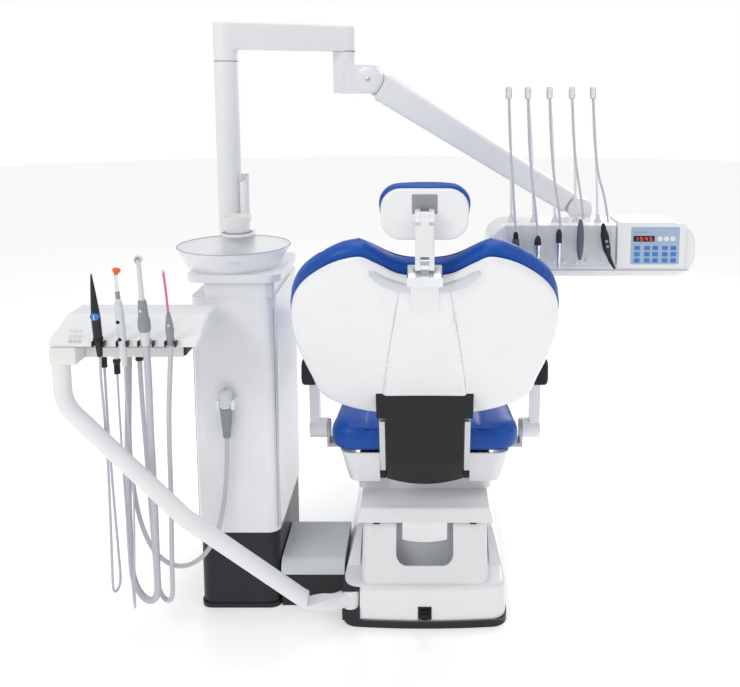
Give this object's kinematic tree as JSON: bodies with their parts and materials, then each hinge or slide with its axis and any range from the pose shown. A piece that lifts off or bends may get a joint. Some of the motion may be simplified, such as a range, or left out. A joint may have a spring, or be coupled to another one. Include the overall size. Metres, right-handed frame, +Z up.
{
  "type": "dental treatment unit",
  "caption": "Patient chair on a telescopic lift with a reclining back, a water tower with cuspidor, a balanced instrument tray and an assistant's tray on a low arm.",
  "frame": {"origin": "on the floor, at the centre of the four floor anchors of the chair base", "axes": "+Z up, +Y from the headrest towards the foot end, +X to the right of someone standing behind the headrest"},
  "size_m": [1.592, 1.7407, 1.548],
  "materials": {
    "white_moulding": "smooth white moulding, satin gloss",
    "white_paint": "white powder coat",
    "white_alloy": "white painted alloy",
    "bare_alloy": "plain alloy",
    "floor_iron": "dark powder coat",
    "steel_tube": "ground steel",
    "sleeve_grey": "matte light grey",
    "upholstery": "smooth coated upholstery over foam, royal blue",
    "dark_plastic": "matte black",
    "charcoal": "matte charcoal",
    "chrome_part": "polished",
    "glass_bowl": "clear, slightly frosted",
    "cup_white": "thin white plastic",
    "sage_handle": "matte blue grey",
    "light_grey": "satin light grey",
    "mid_grey": "matte grey",
    "hose_grey": "pale grey silicone",
    "beige_moulding": "warm white moulding"
  },
  "bodies": {
    "root": {"base_plate": "floor_iron", "base_housing": "white_moulding", "service_socket": "dark_plastic", "arm_socket": "charcoal", "lift_column_outer": "steel_tube", "lift_cover": "white_moulding", "link_box": "charcoal", "link_cover": "white_moulding", "tower_plinth": "charcoal", "tower_shell": "white_moulding", "tower_frame": "bare_alloy", "tower_post": "white_alloy"},
    "lift_middle": {"lift_column_middle": "steel_tube", "lift_sleeve": "sleeve_grey"},
    "lift_top": {"lift_column_inner": "steel_tube", "lift_hood": "white_moulding", "carriage": "white_paint"},
    "seat": {"seat_frame": "bare_alloy", "seat_pan": "white_moulding", "seat_cushion": "upholstery"},
    "backrest": {"backrest_frame": "white_alloy", "hinge_cover": "dark_plastic", "backrest_shell": "white_moulding", "backrest_cushion": "upholstery"},
    "headrest_slider": {"headrest_slider": "chrome_part"},
    "headrest_link": {"headrest_link": "white_paint"},
    "headrest": {"headrest_shell": "white_moulding", "headrest_cushion": "upholstery"},
    "armrest_right": {"armrest_right": "white_moulding", "armrest_pad_right": "charcoal"},
    "armrest_left": {"armrest_left": "white_moulding", "armrest_pad_left": "charcoal"},
    "assistant_arm": {"assist_arm": "white_alloy", "assist_tray": "beige_moulding", "cautery_hose": "hose_grey", "curing_light_hose": "hose_grey", "suction_hose": "hose_grey", "saliva_hose": "hose_grey", "parked_hose": "hose_grey"},
    "cautery_handle": {"cautery_handle": "charcoal"},
    "curing_light": {"curing_light": "light_grey"},
    "suction_handpiece": {"suction_handpiece": "light_grey"},
    "saliva_ejector": {"saliva_ejector": "mid_grey"},
    "parked_handle": {"parked_handle": "mid_grey"},
    "cuspidor": {"cuspidor_carrier": "white_moulding", "cuspidor_bowl": "glass_bowl"},
    "rinsing_cup": {"rinsing_cup": "cup_white"},
    "swing_bar": {"swing_bar": "white_alloy"},
    "bar_knuckle": {"bar_knuckle": "white_alloy"},
    "balance_arm": {"balance_arm": "white_moulding"},
    "tray_bracket": {"tray_bracket": "white_alloy"},
    "tray": {"tray_body": "white_moulding", "control_panel": "white_moulding", "whips": "white_alloy", "tray_hoses": "hose_grey"},
    "spray_handpiece": {"spray_handpiece": "charcoal"},
    "straight_handpiece": {"straight_handpiece": "chrome_part"},
    "contra_angle": {"contra_angle": "chrome_part"},
    "scaler": {"scaler": "sage_handle"},
    "air_syringe": {"air_syringe": "charcoal"}
  },
  "joints": [
    {"name": "lift", "type": "slide", "parent": "root", "child": "lift_top", "axis": [0, 0, 1], "range_m": [0, 0.18]},
    {"name": "lift_middle_stage", "type": "slide", "parent": "root", "child": "lift_middle", "axis": [0, 0, 1], "range_m": [0, 0.09]},
    {"name": "seat_tilt", "type": "hinge", "parent": "lift_top", "child": "seat", "pos_m": [0, -0.112, 0.37], "axis": [1, 0, 0], "range_deg": [0, 12]},
    {"name": "backrest_recline", "type": "hinge", "parent": "seat", "child": "backrest", "pos_m": [0, -0.2, 0.4], "axis": [1, 0, 0], "range_deg": [-15, 50]},
    {"name": "headrest_height", "type": "slide", "parent": "backrest", "child": "headrest_slider", "axis": [0, -0.5736, 0.8192], "range_m": [0, 0.1]},
    {"name": "headrest_neck", "type": "hinge", "parent": "headrest_slider", "child": "headrest_link", "pos_m": [0, -0.57349, 1.00545], "axis": [1, 0, 0], "range_deg": [-5, 30]},
    {"name": "headrest_tilt", "type": "hinge", "parent": "headrest_link", "child": "headrest", "pos_m": [0, -0.566, 1.104], "axis": [1, 0, 0], "range_deg": [-5, 35]},
    {"name": "armrest_right_fold", "type": "hinge", "parent": "seat", "child": "armrest_right", "pos_m": [0.27, -0.04, 0.43], "axis": [1, 0, 0], "range_deg": [0, 75]},
    {"name": "armrest_left_fold", "type": "hinge", "parent": "seat", "child": "armrest_left", "pos_m": [-0.27, -0.04, 0.43], "axis": [1, 0, 0], "range_deg": [0, 75]},
    {"name": "assistant_arm_swing", "type": "hinge", "parent": "root", "child": "assistant_arm", "pos_m": [-0.19, -0.276, 0.074], "axis": [0, 0, 1], "range_deg": [-4, 35], "deforming": ["parked_hose"]},
    {"name": "cautery_handle_lift", "type": "slide", "parent": "assistant_arm", "child": "cautery_handle", "axis": [0, -0.1392, 0.9903], "range_m": [0, 0.05], "deforming": ["cautery_hose"]},
    {"name": "curing_light_lift", "type": "slide", "parent": "assistant_arm", "child": "curing_light", "axis": [0, -0.1392, 0.9903], "range_m": [0, 0.05], "deforming": ["curing_light_hose"]},
    {"name": "suction_handpiece_lift", "type": "slide", "parent": "assistant_arm", "child": "suction_handpiece", "axis": [0, -0.1392, 0.9903], "range_m": [0, 0.05], "deforming": ["suction_hose"]},
    {"name": "saliva_ejector_lift", "type": "slide", "parent": "assistant_arm", "child": "saliva_ejector", "axis": [0, -0.1392, 0.9903], "range_m": [0, 0.05], "deforming": ["saliva_hose"]},
    {"name": "parked_handle_lift", "type": "slide", "parent": "root", "child": "parked_handle", "axis": [0, 0, 1], "range_m": [0, 0.03], "deforming": ["parked_hose"]},
    {"name": "cuspidor_swivel", "type": "hinge", "parent": "root", "child": "cuspidor", "pos_m": [-0.554, 0.1, 0.88], "axis": [0, 0, 1], "range_deg": [0, 40]},
    {"name": "cup_lift", "type": "slide", "parent": "cuspidor", "child": "rinsing_cup", "axis": [0, 0, 1], "range_m": [0, 0.05]},
    {"name": "bar_swing", "type": "hinge", "parent": "root", "child": "swing_bar", "pos_m": [-0.554, 0.1, 1.45], "axis": [0, 0, 1], "range_deg": [-8, 45]},
    {"name": "knuckle_swing", "type": "hinge", "parent": "swing_bar", "child": "bar_knuckle", "pos_m": [-0.24, 0.27, 1.45], "axis": [0, 0, 1], "range_deg": [-10, 60]},
    {"name": "balance_arm_tilt", "type": "hinge", "parent": "bar_knuckle", "child": "balance_arm", "pos_m": [-0.16121, 0.25611, 1.39], "axis": [0.1736, 0.9848, 0], "range_deg": [-40, 12]},
    {"name": "tray_level", "type": "hinge", "parent": "balance_arm", "child": "tray_bracket", "pos_m": [0.45079, 0.14819, 1.0166], "axis": [0.1736, 0.9848, 0], "range_deg": [-12, 40]},
    {"name": "tray_swivel", "type": "hinge", "parent": "tray_bracket", "child": "tray", "pos_m": [0.45079, 0.14819, 0.93], "axis": [0, 0, 1], "range_deg": [-4, 60]},
    {"name": "spray_handpiece_pull", "type": "slide", "parent": "tray", "child": "spray_handpiece", "axis": [0, -1, 0], "range_m": [0, 0.04], "deforming": ["tray_hoses"]},
    {"name": "straight_handpiece_pull", "type": "slide", "parent": "tray", "child": "straight_handpiece", "axis": [0, -1, 0], "range_m": [0, 0.04], "deforming": ["tray_hoses"]},
    {"name": "contra_angle_pull", "type": "slide", "parent": "tray", "child": "contra_angle", "axis": [0, -1, 0], "range_m": [0, 0.04], "deforming": ["tray_hoses"]},
    {"name": "scaler_pull", "type": "slide", "parent": "tray", "child": "scaler", "axis": [0, -1, 0], "range_m": [0, 0.04], "deforming": ["tray_hoses"]},
    {"name": "air_syringe_pull", "type": "slide", "parent": "tray", "child": "air_syringe", "axis": [0, -1, 0], "range_m": [0, 0.04], "deforming": ["tray_hoses"]}
  ],
  "couplings": [
    {"joint": "lift_middle_stage", "follows": "lift", "ratio": 0.5},
    {"joint": "tray_level", "follows": "balance_arm_tilt", "ratio": -1}
  ]
}
